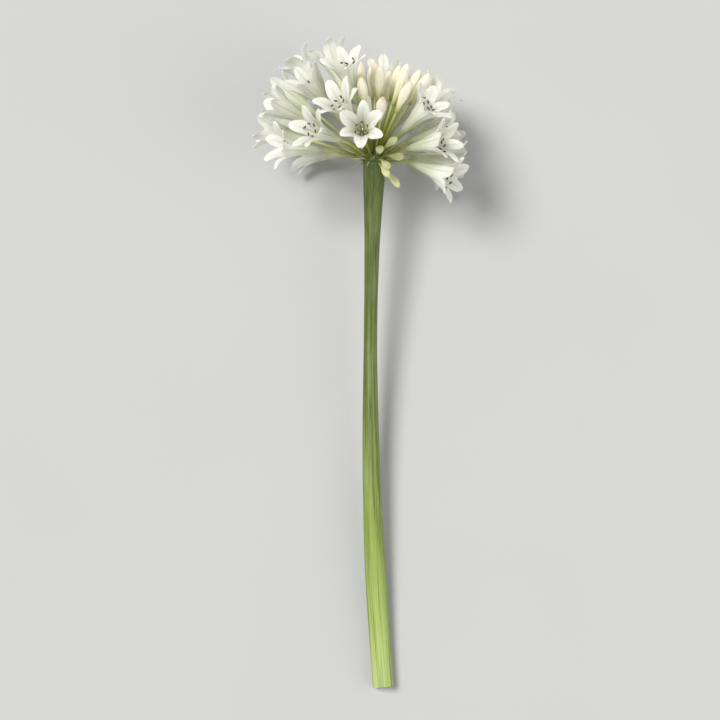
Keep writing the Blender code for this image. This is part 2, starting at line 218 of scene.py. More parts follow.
# Fine bud: its seams' place beside the middle of each broad back, and their width
BUD_ROWS = 34
BUD_SIDES = 48
SEAM_PLACE = math.radians(38)
SEAM_WIDTH = math.radians(7)

# Steps that set each tepal and each floret apart in the mottle's noise
LOBE_STEP = 20 * MM
FLORET_STEP = 150 * MM

# Materials. They read the growth in mm, so a noise's scale is its features in a mm. The real veins lie 0.4 mm
# apart, too fine for the render, so they are drawn 1.1 mm apart. What a point keeps comes out of the named
# sockets, and a mix of colours has the numbered ones.
VEIN_GAP = 1.1
VEIN_TINT = 0.10
RIB_TINT = 0.72
TEPAL_GLOW = 0.38
BRACTEOLE_GLOW = 0.3
KEPT = {"grown": "Vector", "along": "Fac"}
MIX_SHARE, MIX_FIRST, MIX_SECOND, MIX_RESULT = 0, 6, 7, 2

# Stage: the share of the picture's height that the umbel fills, the rings of the table top, the heights
# between which the air's light changes, and where the two lights stand from the umbel
FILL = 0.93
TABLE_RADII = (4.0, 3.0, 2.0, 1.0)
TABLE_SIDES = 96
AIR_COLOUR = "#f7f8f8"
AIR_HEIGHTS = (0.16, 0.55)
KEY_PLACE = (-0.6, 0.25, 1.2)
FILL_PLACE = (0.95, -0.35, 0.75)


def linear(hex_colour):
    """Turns an sRGB hex value into the linear red, green and blue that shaders take."""
    parts = [int(hex_colour[k:k + 2], 16) / 255 for k in (1, 3, 5)]
    return tuple(c / 12.92 if c <= 0.04045 else ((c + 0.055) / 1.055) ** 2.4 for c in parts)


def unit(vectors):
    """Scales vectors to length one."""
    vectors = np.asarray(vectors, dtype=float)
    return vectors / np.linalg.norm(vectors, axis=-1, keepdims=True)


def smooth(share):
    """Eases a share from 0 to 1."""
    share = np.clip(share, 0, 1)
    return share * share * (3 - 2 * share)


def turns(count):
    """Gives the angles of evenly spaced sides round a full turn."""
    return np.arange(count) * 2 * math.pi / count


def floret_profile(openness, distances):
    """Gives the radius and height of a floret's wall at distances along it from its root."""
    spread = SPREAD[0] + (SPREAD[1] - SPREAD[0]) * openness
    curl = CURL[0] + (CURL[1] - CURL[0]) * openness
    steps = np.linspace(0, TUBE_LENGTH + LOBE_LENGTH, PROFILE_POINTS)
    along = np.clip((steps - TUBE_LENGTH) / LOBE_LENGTH, 0, 1)
    slope = TUBE_SLOPE + spread * along + curl * along ** 3
    stride = np.diff(steps)
    middle = (slope[1:] + slope[:-1]) / 2
    radii = TUBE_ROOT_RADIUS + np.concatenate([[0], np.cumsum(np.sin(middle) * stride)])
    heights = np.concatenate([[0], np.cumsum(np.cos(middle) * stride)])
    return np.interp(distances, steps, radii), np.interp(distances, steps, heights)


def scape_line(distances):
    """Gives points of the scape's centre line at distances from its cut end."""
    share = np.asarray(distances) / SCAPE_LENGTH
    lean = math.asin((HEART[2] - SCAPE_END_HEIGHT) / SCAPE_LENGTH)
    x = HEART[0] + SCAPE_BOW * np.sin(math.pi * share) + SCAPE_DRIFT * (1 - share) ** 3
    y = HEART[1] - SCAPE_LENGTH * math.cos(lean) * (1 - share)
    z = SCAPE_END_HEIGHT + (HEART[2] - SCAPE_END_HEIGHT) * share ** SCAPE_RISE_POWER
    return np.stack([x, y, z], axis=-1)


def head_axes():
    """Gives the head's three directions: to the right, to the front, and out along the scape."""
    ends = scape_line(np.array([0.85, 1.0]) * SCAPE_LENGTH)
    along = unit(ends[1] - ends[0])
    right = unit(np.cross(along, (0, 0, 1)))
    front = np.cross(right, along)
    return np.stack([right, front, along])


def flower_axes():
    """Gives the head's three directions again, but leaning to the right, as its flowers do."""
    right, front, along = head_axes()
    cosine, sine = math.cos(HEAD_LEAN), math.sin(HEAD_LEAN)
    return np.stack([right * cosine - along * sine, front, along * cosine + right * sine])


def pedicel_centre():
    """Gives the middle of the receptacle, which all the pedicels grow out of."""
    return np.array(HEART) - head_axes()[2] * RECEPTACLE_SINK


def cone_direction(polar, turn):
    """Gives a direction by its angle from the scape's line and its turn about it."""
    return np.array([math.sin(polar) * math.cos(turn), math.sin(polar) * math.sin(turn), math.cos(polar)])


def spiral(count, low, high, start):
    """Spreads directions evenly between two cones about the scape's line."""
    for k in range(count):
        cosine = math.cos(low) + (k + 0.5) / count * (math.cos(high) - math.cos(low))
        yield cone_direction(math.acos(cosine), (start + k) * GOLDEN_ANGLE)


@dataclasses.dataclass
class Flower:
    """One floret or bud: its kind, its direction in the head, its sizes and its place."""

    kind: str
    direction: np.ndarray
    length: float
    pedicel: float
    roll: float = 0
    reach: float = 0
    openness: float = 0
    base: np.ndarray = None
    axis: np.ndarray = None
    node: str = None

    def ball_radii(self):
        """Gives the radii of the balls that stand for the flower, from its base to its tip."""
        if self.kind == "floret":
            along = np.array(BALL_PLACES) * (TUBE_LENGTH + LOBE_LENGTH)
            return floret_profile(self.openness, along)[0] * FLORET_BALL_SHARE + FLORET_BALL_EXTRA
        radius = YOUNG_RADIUS if self.kind == "young_bud" else BUD_RADIUS
        return radius * np.array(BUD_BALL_SHARES)


def new_floret(world, pedicel, openness, roll):
    """Makes a floret that stands out in a direction."""
    reach, height = floret_profile(openness, TUBE_LENGTH + LOBE_LENGTH)
    longer = LONG_SIDE_EXTRA * max(0, world @ np.array(LONG_SIDE))
    return Flower("floret", world, float(height), pedicel + longer, roll, float(reach), openness)


def near(direction, middle, angle):
    """Tells whether a direction lies within an angle of another."""
    return direction @ unit(middle) > math.cos(angle)


def flowers():
    """Makes the list of the head's flowers, before they push each other aside."""
    axes = flower_axes()
    draw = np.random.default_rng(LAYOUT_SEED)
    made = []
    for direction in spiral(BUD_COUNT, 0, BUD_CONE, 0):
        length = BUD_LENGTH * draw.uniform(*BUD_LENGTH_STRAY)
        pedicel = BUD_PEDICEL + draw.uniform(*BUD_PEDICEL_STRAY) * MM
        roll = draw.uniform(0, 2 * math.pi)
        made.append(Flower("bud", direction @ axes, length, pedicel, roll))
    for k, direction in enumerate(spiral(FLORET_COUNT, *FLORET_BAND, BUD_COUNT)):
        world = direction @ axes
        roll = draw.uniform(0, 2 * math.pi)
        stray = draw.uniform(*PEDICEL_STRAY) * MM
        openness = draw.uniform(*(HALF_OPENNESS if k in HALF_OPEN else FULL_OPENNESS))
        if near(world, BUD_SIDE, BUD_SIDE_ANGLE) or near(world, NECK_SIDE, NECK_SIDE_ANGLE):
            continue
        if near(world, FRONT_GAP, FRONT_GAP_ANGLE):
            made.append(Flower("young_bud", world, YOUNG_LENGTH, YOUNG_PEDICEL + stray, roll))
        else:
            made.append(new_floret(world, FLORET_PEDICEL + stray, openness, roll))
    for kind, polar, turn in ADDED:
        world = cone_direction(math.radians(polar), math.radians(turn)) @ axes
        if kind == "floret":
            made.append(new_floret(world, FLORET_PEDICEL, ADDED_OPENNESS, ADDED_ROLL))
        elif kind == "bud":
            made.append(Flower(kind, world, BUD_LENGTH, BUD_PEDICEL))
        else:
            made.append(Flower(kind, world, YOUNG_LENGTH, YOUNG_PEDICEL))
    return made


def pedicel_points(root, direction, base, axis, shares):
    """Gives points on the curve from a pedicel's root to the base of its flower."""
    root, direction, base, axis = (np.asarray(v) for v in (root, direction, base, axis))
    reach = np.linalg.norm(base - root, axis=-1, keepdims=True) / 3
    handles = (root, root + direction * reach, base - axis * reach, base)
    left = 1 - shares
    weights = (left ** 3, 3 * shares * left ** 2, 3 * shares ** 2 * left, shares ** 3)
    return sum(np.multiply.outer(w, h) for w, h in zip(weights, handles))


def settle(made):
    """Eases the flowers clear of each other and of the table."""
    heart = np.array(HEART)
    sizes = ("direction", "length", "pedicel", "reach")
    directions, lengths, pedicels, reach = (
        np.array([getattr(flower, size) for flower in made]) for size in sizes)
    radii = np.array([flower.ball_radii() for flower in made])
    places, stalk = np.array(BALL_PLACES), np.array(STALK_PLACES)
    roots = pedicel_centre() + directions * PEDICEL_ROOT
    home_base = heart + directions * pedicels[:, None]
    home_tip = home_base + directions * lengths[:, None]
    base, tip = home_base.copy(), home_tip.copy()
    count, balls = len(made), len(places) + len(stalk)
    ball_radii = np.concatenate([radii, np.full((count, len(stalk)), STALK_BALL)], 1).ravel()
    owner = np.repeat(np.arange(count), balls)
    is_stalk = np.tile(np.arange(balls) >= len(places), count)
    ignore = (owner[:, None] == owner[None]) | (is_stalk[:, None] & is_stalk[None])
    need = ball_radii[:, None] + ball_radii[None] + CLEARANCE
    tip_share = np.concatenate([places, 0 * stalk])[:, None]
    base_share = np.concatenate([1 - places, stalk])[:, None]
    norm = tip_share ** 2 + base_share ** 2
    for _ in range(EASE_STEPS):
        base += HOMING * (home_base - base)
        tip += HOMING * (home_tip - tip)
        stalks = pedicel_points(roots, directions, base, unit(tip - base), stalk).transpose(1, 0, 2)
        bodies = base[:, None] + places[:, None] * (tip - base)[:, None]
        centres = np.concatenate([bodies, stalks], 1).reshape(-1, 3)
        apart = centres[:, None] - centres[None]
        distance = np.sqrt((apart ** 2).sum(2))
        over = np.where(ignore, 0, np.clip(need - distance, 0, None))
        push = (apart * (over / np.maximum(distance, 1e-9))[:, :, None]).sum(1)
        push = PUSH * push.reshape(count, balls, 3)
        base += (push * (base_share / norm)).sum(1)
        tip += (push * (tip_share / norm)).sum(1)
        out = base - heart
        now = np.linalg.norm(out, axis=1)
        wanted = np.clip(now, (1 - LENGTH_PLAY) * pedicels, (1 + LENGTH_PLAY) * pedicels)
        base = heart + out * (wanted / now)[:, None]
        axis = unit(tip - base)
        tip = base + axis * lengths[:, None]
        low = tip[:, 2] - reach * np.sqrt(np.clip(1 - axis[:, 2] ** 2, 0, 1))
        low -= np.where(reach > 0, SHELL * np.clip(-axis[:, 2], 0, 1), BUD_RADIUS)
        tip[:, 2] += np.clip(-low, 0, None)
        axis = unit(tip - base)
        tip = base + axis * lengths[:, None]
    for flower, flower_base, flower_axis, height in zip(made, base, axis, low):
        flower.base = flower_base
        flower.axis = flower_axis
        if height < TOUCHING:
            flower.roll = 0.0


def flower_matrix(flower):
    """Gives the matrix that stands a flower in its place, with its roll about its own line."""
    axis = Vector(flower.axis)
    down = Vector((0, 0, -1))
    side = (down - axis * down.dot(axis)).normalized()
    turn = Matrix((side, axis.cross(side), axis)).transposed().to_4x4()
    return Matrix.Translation(Vector(flower.base)) @ turn @ Matrix.Rotation(flower.roll, 4, "Z")


@functools.lru_cache(maxsize=1)
def umbel():
    """Gives the settled flowers, each with the name of its node in the frame."""
    made = flowers()
    settle(made)
    counts = {}
    for flower in made:
        counts[flower.kind] = counts.get(flower.kind, 0) + 1
        flower.node = f"{flower.kind}_{counts[flower.kind]:02d}"
    return made


def growth(name):
    """Gives a piece's own seeded random draws."""
    return np.random.default_rng([GROWTH_SEED, *name.encode()])


def new_object(name, data):
    """Makes an object of a mesh, a light or a camera, and puts it in the scene."""
    made = bpy.data.objects.new(name, data)
    bpy.context.scene.collection.objects.link(made)
    return made


class Form:
    """Points and faces gathered for one piece.

    Each point also keeps where it would lie on the straight, flat piece (grown, in mm) and its share of the
    piece's length (along). The materials read both, so that veins and streaks follow the growth.
    """

    def __init__(self):
        self.points = []
        self.faces = []
        self.slots = []
        self.grown = []
        self.along = []
        self.count = 0

    def add(self, points, faces, slot, grown, along):
        """Adds points and the faces between them, all of one material slot."""
        points = np.asarray(points, dtype=float).reshape(-1, 3)
        self.faces.extend([self.count + corner for corner in face] for face in faces)
        self.slots.extend([slot] * len(faces))
        self.points.append(points)
        self.grown.append(np.asarray(grown, dtype=float).reshape(-1, 3) / MM)
        self.along.append(np.broadcast_to(np.asarray(along, dtype=float).ravel(), len(points)))
        self.count += len(points)

    def piece(self, name, materials, matrix=None):
        """Makes the piece's object, in the frame's own coordinates, and lets it ride."""
        old = bpy.data.objects.get(name)
        if old:
            bpy.data.objects.remove(old)
        points = np.concatenate(self.points)
        if matrix is not None:
            turn = np.array(matrix)
            points = points @ turn[:3, :3].T + turn[:3, 3]
        points = rest_on_table(points)
        mesh = bpy.data.meshes.new(name)
        mesh.from_pydata(points.tolist(), [], self.faces)
        mesh.attributes.new("grown", "FLOAT_VECTOR", "POINT").data.foreach_set(
            "vector", np.concatenate(self.grown).astype(np.float32).ravel())
        mesh.attributes.new("along", "FLOAT", "POINT").data.foreach_set(
            "value", np.concatenate(self.along).astype(np.float32))
        for material in materials:
            mesh.materials.append(material)
        mesh.polygons.foreach_set("material_index", self.slots)
        mesh.shade_smooth()
        mesh.set_sharp_from_angle(angle=SHARP_ANGLE)
        if mesh.validate():
            raise RuntimeError(f"{name} has faces that Blender had to mend")
        made = new_object(name, mesh)
        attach(made, "root")
        return made


def rest_on_table(points):
    """Presses what would reach through the table flat on to it, as a soft petal gives way."""
    points = points.copy()
    low = points[:, 2] < SOFT_HEIGHT
    points[low, 2] = SOFT_HEIGHT * np.exp(points[low, 2] / SOFT_HEIGHT - 1)
    return points


def side_directions(points):
    """Gives two directions square to a line at each of its points, which turn as little as they can."""
    tangents = unit(np.gradient(points, axis=0))
    start = np.eye(3)[np.argmin(np.abs(tangents[0]))]
    sides = []
    for tangent in tangents:
        start = unit(start - tangent * (start @ tangent))
        sides.append(start)
    sides = np.array(sides)
    return sides, np.cross(tangents, sides)


def ring_faces(rows, sides, shut_start=True):
    """Gives the faces of a sleeve of rings, shut at its end, and at its start too unless told otherwise."""
    faces = []
    for start in range(0, (rows - 1) * sides, sides):
        for side in range(sides):
            corner, after = start + side, start + (side + 1) % sides
            faces.append([corner, after, after + sides, corner + sides])
    if shut_start:
        faces.append(list(range(sides))[::-1])
    faces.append(list(range((rows - 1) * sides, rows * sides)))
    return faces


def add_sleeve(form, points, radii, sides, slot, shares=(0, 1), shut_start=True):
    """Adds a sleeve round a line. radii has a number for each point, or one for each point and side."""
    points = np.asarray(points, dtype=float)
    radii = np.asarray(radii, dtype=float)
    radii = np.broadcast_to(radii.reshape(len(points), -1), (len(points), sides))
    cosine, sine = np.cos(turns(sides)), np.sin(turns(sides))
    first, second = side_directions(points)
    around = first[:, None] * cosine[:, None] + second[:, None] * sine[:, None]
    strides = np.linalg.norm(np.diff(points, axis=0), axis=1)
    travelled = np.concatenate([[0], np.cumsum(strides)])
    length = np.broadcast_to(travelled[:, None], radii.shape)
    grown = np.stack([radii * cosine, radii * sine, length], axis=-1)
    along = shares[0] + (shares[1] - shares[0]) * length / travelled[-1]
    skin = points[:, None] + around * radii[:, :, None]
    form.add(skin, ring_faces(len(points), sides, shut_start), slot, grown, along)
    return skin


def oval_underside(line, radii):
    """Gives a sleeve's radii again, its underside a flatter oval wherever it would dip into the table."""
    angles = turns(radii.shape[1])
    first, second = side_directions(line)
    down = -first[:, None, 2] * np.cos(angles) - second[:, None, 2] * np.sin(angles)
    down = np.clip(down, 0, 1)
    room = np.minimum(radii, line[:, None, 2])
    return radii * room / np.sqrt((room ** 2) * (1 - down ** 2) + (radii * down) ** 2)


def add_cut(form, rim, centre, inward):
    """Shuts the scape's cut end with pith that stands a little back from the rind."""
    sides = len(rim)
    shares = np.array([1.0, 0.93, 0.84, 0.5, 0.12])
    depths = np.array([0.0, 0.05, 0.3, 0.45, 0.5]) * MM
    rings = centre + (rim - centre)[None] * shares[:, None, None] + inward * depths[:, None, None]
    first = unit(rim[0] - centre)
    second = np.cross(inward, first)
    away = rings - centre
    grown = np.stack([away @ first, away @ second, away @ inward], axis=-1)
    form.add(rings, [face[::-1] for face in ring_faces(len(shares), sides, False)], 1, grown, 0)


def lobe_half_width(lobe, share, radius):
    """Gives half a tepal's width. It fills its room in the tube, and laps over its neighbours above."""
    room = LOBE_SHARES[lobe % 2] * math.pi / 3 * radius
    lap = 1 + 0.10 * smooth(share / 0.3)
    widening = 0.65 + 0.35 * np.sin(math.pi / 2 * np.clip(share / LOBE_WIDEST, 0, 1))
    rounding = np.clip((share - LOBE_WIDEST) / (1 - LOBE_WIDEST), 0, 1)
    wish = LOBE_WIDTHS[lobe % 2] * widening * (1 - rounding ** 2.6) ** 0.6
    return np.where(share <= 0, room, np.minimum(room * lap, wish))


def point_normals(points, faces):
    """Gives the mean direction of the faces at each point."""
    corners = points[np.array(faces)]
    across = np.cross(corners[:, 2] - corners[:, 0], corners[:, 3] - corners[:, 1])
    normals = np.zeros_like(points)
    for corner in range(4):
        np.add.at(normals, np.array(faces)[:, corner], across)
    return unit(normals)


def patch(*columns):
    """Gives a row of values for each point of a patch, from arrays spread over its rows and columns."""
    return np.stack(np.broadcast_arrays(*columns), axis=-1).reshape(-1, len(columns))


def tube_patch(flower, look):
    """Gives the tube's points ring by ring: their three coordinates, how they grew, and their thickness."""
    distances = np.linspace(0, 1, TUBE_ROWS)[:, None] ** TUBE_CROWDING * TUBE_LENGTH
    radius, height = floret_profile(flower.openness, distances)
    lobe, column = np.divmod(np.arange(RING_POINTS), LOBE_COLUMNS)
    u = column / LOBE_COLUMNS * 2 - 1
    turn = u * np.array(LOBE_SHARES)[lobe % 2] * math.pi / 3
    angle = turns(TEPAL_COUNT)[lobe] + turn
    wall = radius + look.crease_depth * np.exp(-(u / CREASE_WIDTH) ** 2) * smooth(distances / TUBE_LENGTH)
    return patch(wall * np.cos(angle), wall * np.sin(angle), height,
                 turn * radius, lobe * LOBE_STEP, distances, 1)


def lobe_patch(flower, look, lobe, draw):
    """Gives the points of one tepal's free part row by row, with the same values as the tube's."""
    outer = lobe % 2
    share = LOBE_END * (1 - (1 - np.linspace(0, 1, LOBE_ROWS + 1)[1:, None]) ** LOBE_CROWDING)
    distances = TUBE_LENGTH + share * LOBE_LENGTH
    radius, height = floret_profile(flower.openness, distances)
    ahead, behind = (floret_profile(flower.openness, distances + step) for step in (SLOPE_STEP, -SLOPE_STEP))
    slope = np.subtract(ahead, behind)
    out, up = slope / np.hypot(*slope)
    half = lobe_half_width(lobe, share, radius)
    bend = draw.uniform(-0.5, 1.0) * look.lobe_stray * (1.0 - 0.5 * outer)
    lean = draw.uniform(-1, 1) * look.lobe_stray
    twist = draw.uniform(*TWIST)
    phases = draw.uniform(0, 2 * math.pi, 2)
    beats = draw.uniform(*MARGIN_BEATS, 2)
    reflex = draw.uniform(*REFLEX) * MM
    u = np.linspace(-1, 1, LOBE_COLUMNS + 1)
    edge = np.abs(u)
    side = (u > 0).astype(int)
    wave = np.sin(2 * math.pi * beats[side] * share + phases[side])
    proud = outer * look.layer_step * smooth(share / 0.22) + bend * share ** 2.2
    proud = proud + look.crease_depth * np.exp(-(u / CREASE_WIDTH) ** 2) * (1 - share ** 4)
    proud += look.margin_wave * wave * edge ** 1.6 * share ** 0.6
    proud += (reflex * edge ** 2 + twist * u * half) * share ** 1.5
    angle = turns(TEPAL_COUNT)[lobe] + (u * half + lean * share ** 1.6) / radius
    wall = radius + proud * up
    thickness = (1 - 0.45 * edge ** 2) * (1 - 0.35 * share)
    return patch(wall * np.cos(angle), wall * np.sin(angle), height - proud * out,
                 u * half, lobe * LOBE_STEP, distances, thickness)


def perianth_grid():
    """Gives the points' numbers by tepal, row and column. Neighbours share their edges along the tube."""
    columns = LOBE_COLUMNS + 1
    grid = np.empty((TEPAL_COUNT, TUBE_ROWS + LOBE_ROWS, columns), dtype=int)
    shared = (np.arange(TEPAL_COUNT)[:, None, None] * LOBE_COLUMNS + np.arange(columns)) % RING_POINTS
    grid[:, :TUBE_ROWS] = np.arange(TUBE_ROWS)[:, None] * RING_POINTS + shared
    free = np.arange(TEPAL_COUNT * LOBE_ROWS * columns).reshape(TEPAL_COUNT, LOBE_ROWS, columns)
    grid[:, TUBE_ROWS:] = TUBE_ROWS * RING_POINTS + free
    return grid


def add_perianth(form, flower, look, draw):
    """Adds the trumpet: a tube that parts into three broad inner tepals and three narrower outer ones."""
    lobes = [lobe_patch(flower, look, lobe, draw) for lobe in range(TEPAL_COUNT)]
    points, grown, thick = np.split(np.concatenate([tube_patch(flower, look), *lobes]), [3, 6], axis=1)
    grid = perianth_grid()
    quads = np.stack([grid[:, :-1, :-1], grid[:, :-1, 1:], grid[:, 1:, 1:], grid[:, 1:, :-1]], axis=-1)
    faces = quads.reshape(-1, 4).tolist()
    inner = points - point_normals(points, faces) * look.tepal_thickness * thick
    # Each floret has its own place in the mottle, and the younger it is, the further its green reaches.
    grown += (0, FLORET_STEP * int(flower.node[-2:]), 0)
    along = grown[:, 2] / (TUBE_LENGTH + LOBE_LENGTH) * (0.8 + 0.2 * flower.openness)
    foot = len(points)
    points = np.concatenate([points, [(0, 0, 0)], inner, [(0, 0, look.tepal_thickness)]])
    grown = np.concatenate([grown, [(0, 0, 0)]] * 2)
    along = np.concatenate([along, [0]] * 2)
    skin = faces + [[(place + 1) % RING_POINTS, place, foot] for place in range(RING_POINTS)]
    back = [[corner + foot + 1 for corner in face[::-1]] for face in skin]
    free = grid[:, TUBE_ROWS - 1:]
    starts = np.concatenate([free[:, :-1, 0], free[:, 1:, -1], free[:, -1, :-1]], axis=1).ravel()
    ends = np.concatenate([free[:, 1:, 0], free[:, :-1, -1], free[:, -1, 1:]], axis=1).ravel()
    rim = np.stack([starts, ends, ends + foot + 1, starts + foot + 1], axis=-1).tolist()
    form.add(points, skin + back + rim, 0, grown, along)


def add_stamens(form, look, openness, draw):
    """Adds six filaments, which leave the ovary's top and sag to one side, each with its anther."""
    steps = np.linspace(0, 1, FILAMENT_ROWS)
    for angle in turns(TEPAL_COUNT):
        length = draw.uniform(0.86, 1.0)
        stray = draw.uniform(-0.6, 0.6, 2) * MM
        out = (0.85 + (2.2 + 1.6 * openness) * steps ** 1.2) * MM
        sag = STAMEN_SAG * steps ** 2 * (1 - 0.4 * steps ** 6)
        x = out * math.cos(angle) + sag + stray[0] * steps ** 2
        y = out * math.sin(angle) + stray[1] * steps ** 2
        z = OVARY_HEIGHT - STAMEN_SINK + (STAMEN_REACH - OVARY_HEIGHT) * steps * length
        line = np.stack([x, y, z], axis=-1)
        add_sleeve(form, line, look.filament_radius * (1 - 0.45 * steps), FILAMENT_SIDES, 1)
        aim = unit(np.array([math.cos(angle + 1.2), math.sin(angle + 1.2), draw.uniform(0.1, 0.9)]))
        places = np.linspace(-1, 1, ANTHER_ROWS)
        spine = line[-1] + np.outer(places * look.anther_length / 2, aim)
        spine += np.outer(0.12 * look.anther_length * (places ** 2 - 0.5), unit(line[-1] - line[-2]))
        girth = look.anther_length * 0.2 * np.sqrt(np.clip(1 - (places * 0.97) ** 4, 0.02, 1))
        oval = 1 + 0.16 * np.cos(2 * turns(ANTHER_SIDES))
        add_sleeve(form, spine, np.outer(girth, oval), ANTHER_SIDES, 2)


def add_pistil(form, look, draw):
    """Adds the three-lobed ovary, and the style with its small knob of a stigma."""
    steps = np.linspace(0, 1, FILAMENT_ROWS)
    side = draw.uniform(-0.5, 0.9)
    z = OVARY_HEIGHT - 0.6 * MM + (STAMEN_REACH - OVARY_HEIGHT) * steps * draw.uniform(0.75, 1.02)
    x = STYLE_SAG * steps ** 2 * (1 - 0.4 * steps ** 6)
    style = np.stack([x, side * MM * steps ** 2, z], axis=-1)
    radii = look.filament_radius * (0.85 - 0.3 * steps)
    radii[-2:] *= (1.7, 1.9)
    add_sleeve(form, style, radii, FILAMENT_SIDES, 1)
    heights = np.linspace(0.5, 8.2, OVARY_ROWS) * MM
    girth = OVARY_RADIUS * np.sin(math.pi * np.linspace(0.12, 0.94, OVARY_ROWS) ** 0.85) ** 0.7
    lobes = 1 + 0.07 * np.cos(3 * turns(OVARY_SIDES))
    spine = np.stack([heights * 0, heights * 0, heights], axis=-1)
    add_sleeve(form, spine, np.outer(girth, lobes), OVARY_SIDES, 3)


def bud_girth(share):
    """Gives a closed bud's half width, as a share of its widest, at shares of its length."""
    return 0.36 + 0.64 * np.sin(math.pi * np.clip(share, 0, 1) ** 1.6) ** 1.1


def add_bud(form, flower, look, draw):
    """Adds one closed bud: three tepals' broad backs, with narrower ones between, folded to a blunt tip."""
    radius = YOUNG_RADIUS if flower.kind == "young_bud" else BUD_RADIUS
    shares = (1 - np.cos(math.pi * np.linspace(0, 1, BUD_ROWS))) / 2
    tip = np.clip((shares - 0.9) / 0.1, 0, 1)
    girth = bud_girth(shares) * radius
    girth *= np.sqrt(np.clip(1 - (1 - shares / 0.05).clip(0, 1) ** 2, 0.01, 1))
    girth *= np.sqrt(np.clip(1 - tip ** 2.2, 0.004, 1))
    angles = turns(BUD_SIDES)
    folded = smooth((shares - 0.28) / 0.2) * (1 - 0.3 * tip)
    relief = 0.035 * np.cos(3 * angles) + 0.03 * np.cos(6 * angles)
    for middle in turns(3):
        for edge in (-SEAM_PLACE, SEAM_PLACE):
            away = np.angle(np.exp(1j * (angles - middle - edge)))
            relief -= look.seam_depth * np.exp(-(away / SEAM_WIDTH) ** 2)
    radii = girth[:, None] * (1 + folded[:, None] * relief[None])
    bend = draw.uniform(-1.2, 1.2, (2, 1)) * MM
    x, y = bend * np.sin(math.pi * shares * 0.8)
    ripeness = draw.uniform(-0.05, 0.05)
    spine = np.stack([x, y, flower.length * shares], axis=-1)
    add_sleeve(form, spine, radii, BUD_SIDES, 0, shares=(ripeness, 1 + ripeness))


def add_bracteoles(form):
    """Adds the small papery scales that stand out and droop among the pedicels' roots."""
    draw = growth("bracteoles")
    axes = head_axes()
    steps = np.linspace(0, 1, BRACTEOLE_ROWS)
    flat = np.where(np.abs(np.cos(turns(BRACTEOLE_SIDES))) > 0.5, 1.0, 0.25)
    wide = BRACTEOLE_RADIUS * np.clip(1 - steps, 0.05, 1) ** 0.7
    for direction in spiral(BRACTEOLE_COUNT, *BRACTEOLE_BAND, start=5):
        aim = unit(direction @ axes + draw.uniform(-0.1, 0.1, 3))
        start = pedicel_centre() + aim * (RECEPTACLE_RADIUS - 0.8 * MM)
        length = draw.uniform(*BRACTEOLE_LENGTHS) * MM
        droop = unit(-axes[2] + draw.uniform(-0.6, 0.6, 3))
        line = start + np.outer(steps * length, aim) + np.outer(steps ** 2 * length * 0.35, droop)
        add_sleeve(form, line, np.outer(wide, flat), BRACTEOLE_SIDES, 0)


def add_node(tree, kind, sockets=(), stops=(), **settings):
    """Adds a shader node. A socket, by name or number, takes a value or a link from a socket or a node.

    A ramp's first and last stops are named before those between, because a new ramp has those two already.
    """
    node = tree.nodes.new("ShaderNode" + kind)
    for name, value in settings.items():
        setattr(node, name, value)
    for socket, source in dict(sockets).items():
        if isinstance(source, bpy.types.Node):
            source = source.outputs[0]
        if isinstance(source, bpy.types.NodeSocket):
            tree.links.new(source, node.inputs[socket])
        else:
            node.inputs[socket].default_value = source
    for number, (place, colour) in enumerate(stops):
        elements = node.color_ramp.elements
        element = elements[number] if number < 2 else elements.new(place)
        element.position = place
        element.color = (*colour, 1)
    return node


def remapped(add, value, known, wanted):
    """Maps a value from one range to another, and holds it inside that."""
    return add("MapRange", dict(enumerate((value, *known, *wanted))))


def tinted(add, base, *layers):
    """Lays colours over a base in turn, each as strongly as its node says, and gives the result's socket."""
    for share, colour in layers:
        mix = add("Mix", {MIX_SHARE: share, MIX_FIRST: base, MIX_SECOND: (*colour, 1)}, data_type="RGBA")
        base = mix.outputs[MIX_RESULT]
    return base


def drawn_out(add, grown, lengthwise, **noise):
    """Gives noise that is drawn out along the growth, where only a share of its scale is left."""
    stretch = add("Mapping", {0: grown, "Scale": (1, 1, lengthwise)})
    return add("TexNoise", {"Vector": stretch, **noise})


def new_material(name, *kept):
    """Makes an empty material, and gives it, what adds its nodes, and the sockets of what its points keep."""
    old = bpy.data.materials.get(name)
    if old:
        bpy.data.materials.remove(old)
    made = bpy.data.materials.new(name)
    made.use_nodes = True
    made.node_tree.nodes.clear()
    add = functools.partial(add_node, made.node_tree)
    sockets = [add("Attribute", attribute_name=each).outputs[KEPT[each]] for each in kept]
    return made, add, *sockets


def finish_material(made, shader):
    """Joins the last shader to the material's output, and gives the material."""
    add_node(made.node_tree, "OutputMaterial", {"Surface": shader})
    return made


